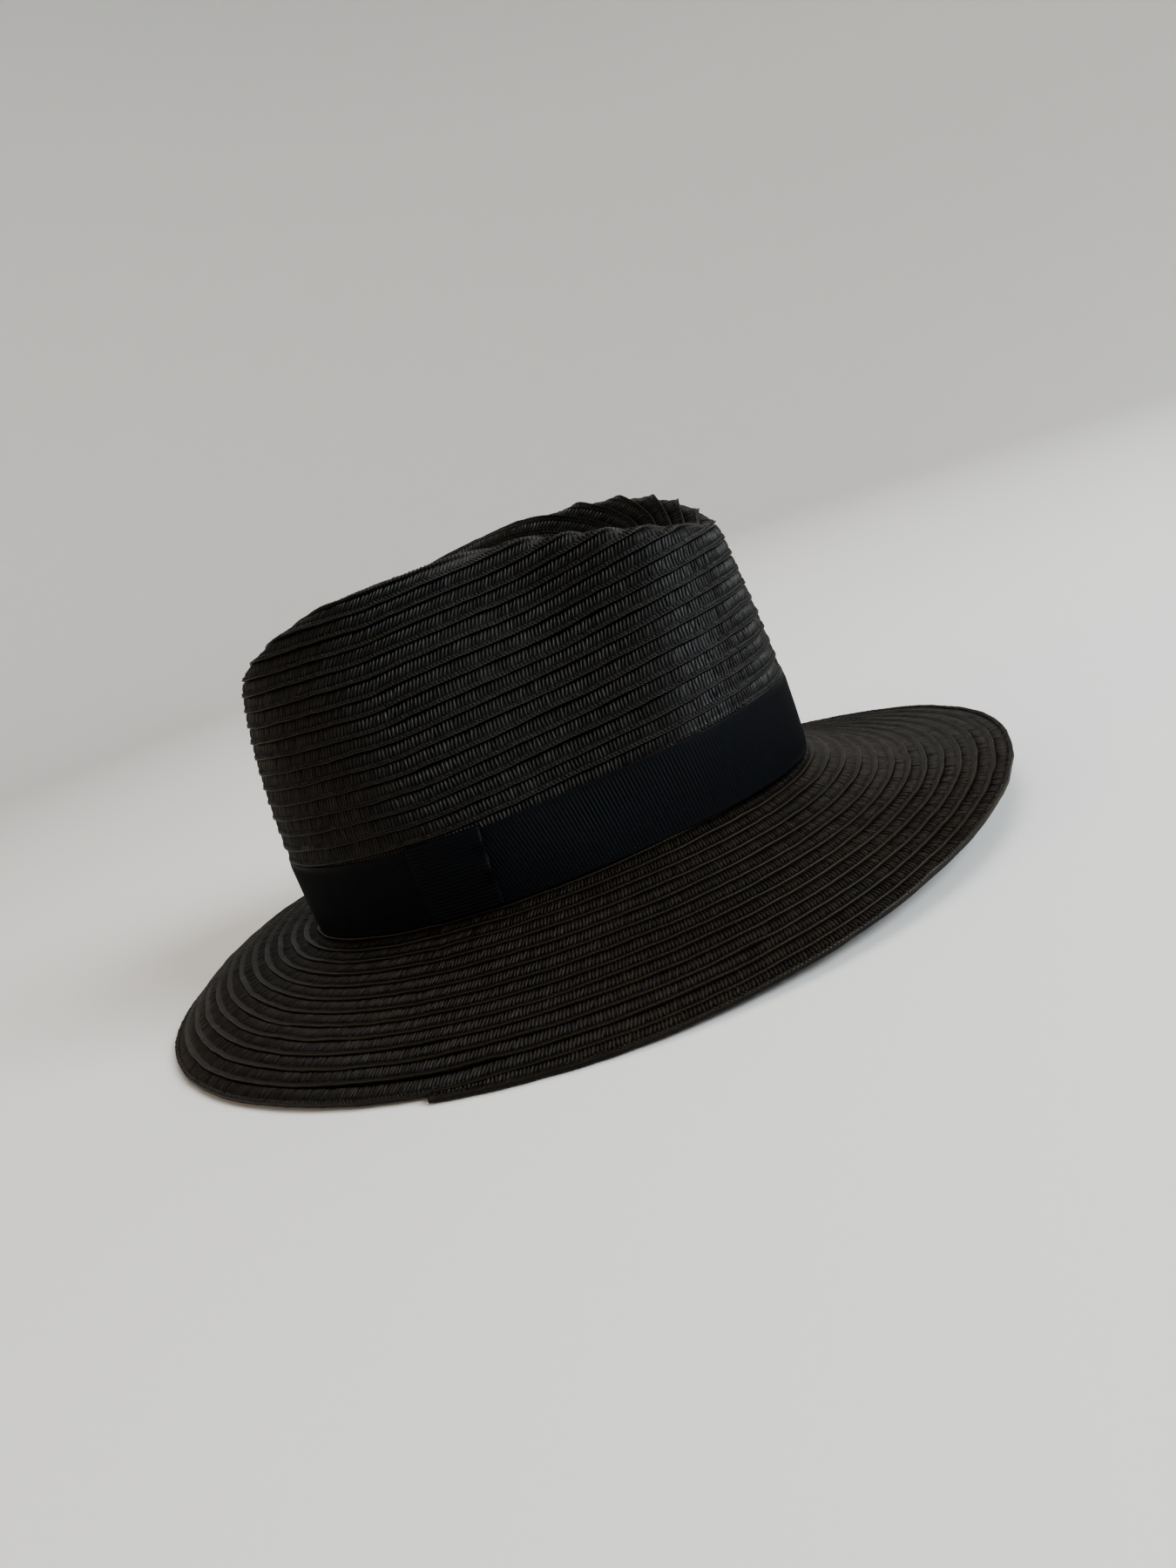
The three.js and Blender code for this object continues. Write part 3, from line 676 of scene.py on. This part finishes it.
def straw_material(name, colour, kind, lip_width, twist, strength):
    """kind is rows (real strands lie on them, over a bed painted dark as their shade), inner (the strands are
    only relief, painted as light bars with painted shade between them) or strands.
    """
    material, t = new_material(name)
    grain = t.node("ShaderNodeGroup", {}, node_tree=GRAIN)
    t.feed(grain.inputs["Place"], object_place(t))
    if kind == "strands":
        braid = t.node("ShaderNodeGroup", node_tree=STRAND)
        t.feed(braid.inputs["Strand Place"], t.node("ShaderNodeUVMap", uv_map="strand").outputs[0])
        t.feed(braid.inputs["Tint"], t.node("ShaderNodeAttribute", attribute_name="tint").outputs["Fac"])
    else:
        braid = t.node("ShaderNodeGroup", node_tree=BRAID)
        t.feed(braid.inputs["Row Place"], t.node("ShaderNodeUVMap", uv_map="braid").outputs[0])
        t.feed(braid.inputs["Strands"], 1.0 if kind == "inner" else 0.0)
        t.feed(braid.inputs["Lip Width"], lip_width)
        t.feed(braid.inputs["Twist"], twist)
    tone = t.math("MULTIPLY", grain.outputs["Tone"], braid.outputs["Tone"])
    base = tuple(c * strength for c in colour)
    shaded = t.node("ShaderNodeVectorMath", {0: base, "Scale": tone}, operation="SCALE")
    height = t.math("ADD", grain.outputs["Height"], braid.outputs["Height"])
    bump = t.node("ShaderNodeBump", {"Height": height, "Distance": 0.00025, "Strength": 0.6})
    shader = t.node("ShaderNodeBsdfPrincipled", {
        "Base Color": shaded.outputs["Vector"], "Roughness": 0.42, "Normal": bump.outputs[0],
        "Specular IOR Level": 0.18})
    t.feed(t.node("ShaderNodeOutputMaterial").inputs["Surface"], shader.outputs[0])
    return material


def ribbon_material():
    material, t = new_material("grosgrain ribbon")
    threads = t.node("ShaderNodeTexNoise", {"Vector": object_place(t), "Scale": 1500.0, "Detail": 2.0})
    bump = t.node("ShaderNodeBump", {"Height": threads.outputs[0], "Distance": 0.0001, "Strength": 0.5})
    shader = t.node("ShaderNodeBsdfPrincipled", {
        "Base Color": (0.0028, 0.0033, 0.0045, 1), "Roughness": 0.55, "Normal": bump.outputs[0],
        "Specular IOR Level": 0.08})
    t.feed(t.node("ShaderNodeOutputMaterial").inputs["Surface"], shader.outputs[0])
    return material


CROWN_STRAW = (0.0090, 0.0077, 0.0062)
BRIM_STRAW = (0.0108, 0.0076, 0.0044)
crown_finish = {kind: straw_material("crown straw " + kind, CROWN_STRAW, kind, 1.75, 0.5, 1.0)
                for kind in ("rows", "inner", "strands")}
brim_finish = {kind: straw_material("brim straw " + kind, BRIM_STRAW, kind, 1.75, 0.15, strength)
               for kind, strength in (("rows", 0.75), ("inner", 1.0), ("strands", 0.85))}
ribbon_finish = ribbon_material()

# ---- the straw ----------------------------------------------------------------------------------------
crown_over, crest_at = crown_surface()
brim_over = brim_surface()
STRANDS = strand_tree()
CROWN_TURNS = (0.35, 25.55)  # from the tip down to just behind the ribbon
BRIM_TURNS = (0.05, BRIM_ROWS + BRAID_END / TURN)
TURNS_BEHIND_RIBBON = 6  # the inner side goes on down to the brim
BAND_OVER_BRIM = 0.7
INTO_BRIM = 0.9  # how far below the brim's top the crown's inner side ends


def band_foot(angle):
    """How far up the wall the top of the brim comes, at each angle."""
    inward = np.arange(-5.0, 12.0, 0.25)  # well below the foot to well above it
    feet = []
    for a in np.atleast_1d(angle):
        height = crown_over.at(np.full(len(inward), a), inward)[:, 2]
        feet.append(np.interp(float(brim_height(a, 0.0)) + STRAW + BAND_OVER_BRIM, height, inward))
    return np.array(feet)


def straw_piece(part, surface, first_row, turns, finish, seed):
    """The rows, their inner side and the cross strands of one part."""
    inner_end, open_from = turns[1], None
    if part == "crown":
        inner_end += TURNS_BEHIND_RIBBON
    else:
        open_from = turns[1] - 1
    path = Spiral(surface, first_row, *turns, ROW_STEP, seed)
    within = Spiral(surface, first_row, turns[0], inner_end, INNER_STEP, seed)
    for line in (path, within):
        if part == "crown":
            line.finish_crown(crest_at)
        else:
            line.finish_brim()
    if part == "crown":
        within.lowest = at_angles(within.angle, band_foot(ANGLES) - BAND_OVER_BRIM - INTO_BRIM)
    points, faces, uv = row_strip(path, ROW_OVER[part], open_from)
    rows = mesh_object(part + "_rows", points, faces, finish["rows"], uv)
    points, faces, uv = row_strip(within, ROW_UNDER, under=True)
    pieces = [rows, mesh_object(part + "_inner_side", points, faces, finish["inner"], uv)]
    sets = (("_strands", STRANDS_OVER[part], STRAND_LEAN[part], 0.0),
            ("_edge_strands", LIP_STRANDS_OVER[part], LIP_LEAN[part], open_from or 0.0))
    for name, (low, high, pitch, width, height), lean, turns_from in sets:
        line = strand_lines(path, ROW_OVER[part], low, high, part + name + "_line", turns_from)
        pieces.append(grow(line, STRANDS, part + name, {
            "Pitch": pitch * MM, "Width": width * MM, "Length": (high - low + STRAND_TUCK) * MM,
            "Height": height * MM, "Lean": lean, "Uneven": UNEVEN[part], "Seed": seed,
            "Finish": finish["strands"]}))
    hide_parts(part)
    for piece in pieces:
        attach(piece, "root")


straw_piece("crown", crown_over, CROWN_FIRST_ROW, CROWN_TURNS, crown_finish, 5)
straw_piece("brim", brim_over, BRIM_FIRST_ROW, BRIM_TURNS, brim_finish, 9)

# ---- the ribbon ---------------------------------------------------------------------------------------
RIB_PITCH, RIB_DEPTH, POINTS_PER_RIB = 1.3, 0.30, 4
SELVEDGE = 0.8
BAND_OFF, BAND_THICK = 0.5, 0.75
BAND_FACE = BAND_OFF + BAND_THICK
# The band's upper and lower edge: in from the edge, and off the wall.
BAND_EDGE = ((0.4, 0.1), (0.0, BAND_OFF), (0.02, BAND_FACE - 0.1), (0.25, BAND_FACE),
             (SELVEDGE, BAND_FACE - 0.02))
RIBBED_AT, RIBS_SUNK = (0.1, 0.5, 0.9), 0.05
LOOP_FRONT, LOOP_BACK, LOOP_COLUMNS = 6.8, 34.1, 25
LOOP_OVER, LOOP_UNDER, LOOP_THICK = 1.4, 0.1, 0.8
LOOP_WALL, LOOP_NEAREST = 0.6, 0.2  # how deep its own edge is, and how near it comes to the straw
RIBS_FADE = 30  # the ribs fade out over the last thirtieth at each side
TURN_IN, TURNED_TO = 0.04, 0.4  # share of the height that is turned in at its top and foot, and how far
# Two puckers where the loop is folded at its front: how far they lift, where up the loop, and how long.
PUCKERS, PUCKER_REACH = ((1.5, 0.80, 0.09), (1.9, 0.48, 0.12)), 3.0


def rib(count):
    return RIB_DEPTH * (0.5 + 0.5 * np.cos(TURN * count))


def make_band():
    """The ribbed ribbon round the foot of the crown, with a plain selvedge at its upper and lower edge."""
    wall = crown_over.at(ANGLES, np.full(AROUND, 20.0))  # half way up the ribbon
    run = np.concatenate([[0], np.cumsum(np.linalg.norm(np.roll(wall, -1, 0) - wall, axis=1))])
    count = int(run[-1] / RIB_PITCH) * POINTS_PER_RIB
    angle = np.interp(np.arange(count) / count * run[-1], run, np.append(ANGLES, TURN))
    foot, top = at_angles(angle, band_foot(ANGLES)), band_top(angle)
    ribbed = rib(np.arange(count) / POINTS_PER_RIB)
    rows = [(foot + inward, np.full(count, off)) for inward, off in BAND_EDGE]
    rows += [(foot + (top - foot) * share, BAND_FACE - RIBS_SUNK + ribbed) for share in RIBBED_AT]
    rows += [(top - inward, np.full(count, off)) for inward, off in reversed(BAND_EDGE)]
    points = np.stack([crown_over.at(angle, inward, off) for inward, off in rows], 1)
    faces = grid_faces(len(points), len(rows), closed=True)
    band = mesh_object("ribbon_band_grosgrain", points.reshape(-1, 3), faces, ribbon_finish)
    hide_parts("ribbon_band")
    return band


def angle_at(y, inward):
    """The angle at which the wall on the wearer's right is at this y."""
    angle = np.full(np.shape(y), math.pi / 2)
    for _ in range(6):
        angle = angle + (y - crown_over.at(angle, inward)[..., 1]) / (HEAD_HALF_LENGTH * np.sin(angle))
    return angle


def make_loop():
    """The flat loop that holds the band's ends: ribbed across, turned in at its top and foot."""
    across = np.linspace(0, 1, LOOP_COLUMNS)
    y = LOOP_FRONT + (LOOP_BACK - LOOP_FRONT) * across
    middle = angle_at(y, np.full(len(y), 16.0))  # half way up the loop
    foot, top = band_foot(middle) - LOOP_UNDER, band_top(middle) + LOOP_OVER
    ribs = int(float(np.mean(top - foot)) / RIB_PITCH)
    up = np.arange(ribs * POINTS_PER_RIB + 1) / (ribs * POINTS_PER_RIB)
    y_grid, up_grid = np.meshgrid(y, up, indexing="ij")
    across_grid = np.repeat(across[:, None], len(up), 1)
    inward = foot[:, None] + (top - foot)[:, None] * up_grid
    to_side = np.minimum(across_grid, 1 - across_grid)
    off = BAND_FACE + LOOP_THICK + rib(up_grid * ribs) * np.clip(to_side * RIBS_FADE, 0, 1)
    turned = np.clip((TURN_IN - np.minimum(up_grid, 1 - up_grid)) / TURN_IN, 0, 1) ** 2
    off = off * (1 - turned) + TURNED_TO * turned
    lift = sum(size * np.exp(-((up_grid - at) / length) ** 2) for size, at, length in PUCKERS)
    from_front = across_grid * (LOOP_BACK - LOOP_FRONT)
    off = off + lift * np.exp(-(from_front / PUCKER_REACH) ** 2)
    angle = angle_at(y_grid, inward)
    outer = crown_over.at(angle, inward, off)
    inner = crown_over.at(angle, inward, np.maximum(off - LOOP_WALL, LOOP_NEAREST))
    columns, rows = len(across), len(up)
    behind = columns * rows
    faces = [grid_faces(columns, rows), grid_faces(columns, rows, first=behind, flip=True)]
    side, end = np.arange(rows), np.arange(columns) * rows
    for line, turn in ((side, 1), (side + behind - rows, -1), (end, -1), (end + rows - 1, 1)):
        a, b = line[:-1], line[1:]
        faces.append(np.stack([a, a + behind, b + behind, b], -1)[:, ::turn])
    points = np.concatenate([outer.reshape(-1, 3), inner.reshape(-1, 3)])
    loop = mesh_object("ribbon_loop_grosgrain", points, np.concatenate(faces), ribbon_finish)
    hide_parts("ribbon_loop")
    return loop


for piece in (make_band(), make_loop()):
    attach(piece, "root")


# ---- floor, backdrop and light ------------------------------------------------------------------------
# A floor that sweeps up into a wall all the way round, in metres.
FLOOR_RADIUS, SWEEP, WALL_HEIGHT = 1.6, 0.9, 3.0
SWEEP_STEPS, FLOOR_SIDES = 12, 96
HAT_MIDDLE = Vector((0, 0, 0.06))
LIGHTS = (  # where, across, watts and colour
    ("window", (-0.55, -1.65, 1.15), 1.1, 56, (0.84, 0.93, 1.0)),
    ("overhead", (0.5, -0.3, 1.8), 1.4, 16, (1.0, 0.98, 0.95)),
    ("lamp", (-0.7, 1.5, 0.7), 0.5, 5, (1.0, 0.66, 0.36)),
)
WINDOW_WAY = (0.10, -0.88, 0.46)  # the side that the room is brightest on


def make_stage():
    material = bpy.data.materials.new("pale floor")
    material.use_nodes = True
    shader = material.node_tree.nodes["Principled BSDF"]
    shader.inputs["Base Color"].default_value = (0.66, 0.64, 0.61, 1)
    shader.inputs["Roughness"].default_value = 0.9
    shader.inputs["Specular IOR Level"].default_value = 0.1
    profile = [(FLOOR_RADIUS, 0.0)]
    profile += [(FLOOR_RADIUS + SWEEP * math.sin(a), SWEEP * (1 - math.cos(a)))
                for a in np.linspace(0, math.pi / 2, SWEEP_STEPS + 1)[1:]]
    profile.append((FLOOR_RADIUS + SWEEP, WALL_HEIGHT))
    rows = len(profile)
    points, faces = [(0, 0, 0)], []
    for k in range(FLOOR_SIDES):
        angle = TURN * k / FLOOR_SIDES
        points += [(r * math.cos(angle), r * math.sin(angle), z) for r, z in profile]
        a, b = 1 + k * rows, 1 + (k + 1) % FLOOR_SIDES * rows
        faces.append((0, a, b))
        faces += [(a + j, a + j + 1, b + j + 1, b + j) for j in range(rows - 1)]
    floor = mesh_object("floor", np.array(points) / MM, faces, material)


def make_light(name, at, size, power, colour):
    data = bpy.data.lights.new(name, "AREA")
    data.shape = "DISK"
    data.size, data.energy, data.color = size, power, colour
    lamp = bpy.data.objects.new(name, data)
    lamp.location = at
    lamp.rotation_euler = (HAT_MIDDLE - Vector(at)).to_track_quat("-Z", "Y").to_euler()
    bpy.context.scene.collection.objects.link(lamp)


def make_world():
    """A room that is bright and cool towards the window and dim on the other side."""
    world = bpy.data.worlds.new("room")
    world.use_nodes = True
    t = Tree(world.node_tree)
    way = t.node("ShaderNodeTexCoord").outputs["Generated"]
    facing = t.node("ShaderNodeVectorMath", {0: way, 1: WINDOW_WAY}, operation="DOT_PRODUCT").outputs["Value"]
    strength = t.node("ShaderNodeMapRange", {"Value": facing, "From Min": -0.2, "From Max": 1.0,
                                             "To Min": 0.06, "To Max": 0.85}).outputs[0]
    background = world.node_tree.nodes["Background"]
    background.inputs["Color"].default_value = (0.92, 0.95, 1.0, 1)
    t.feed(background.inputs["Strength"], strength)
    bpy.context.scene.world = world


make_stage()
for spec in LIGHTS:
    make_light(*spec)
make_world()
bpy.context.scene.view_settings.look = "AgX - Medium High Contrast"
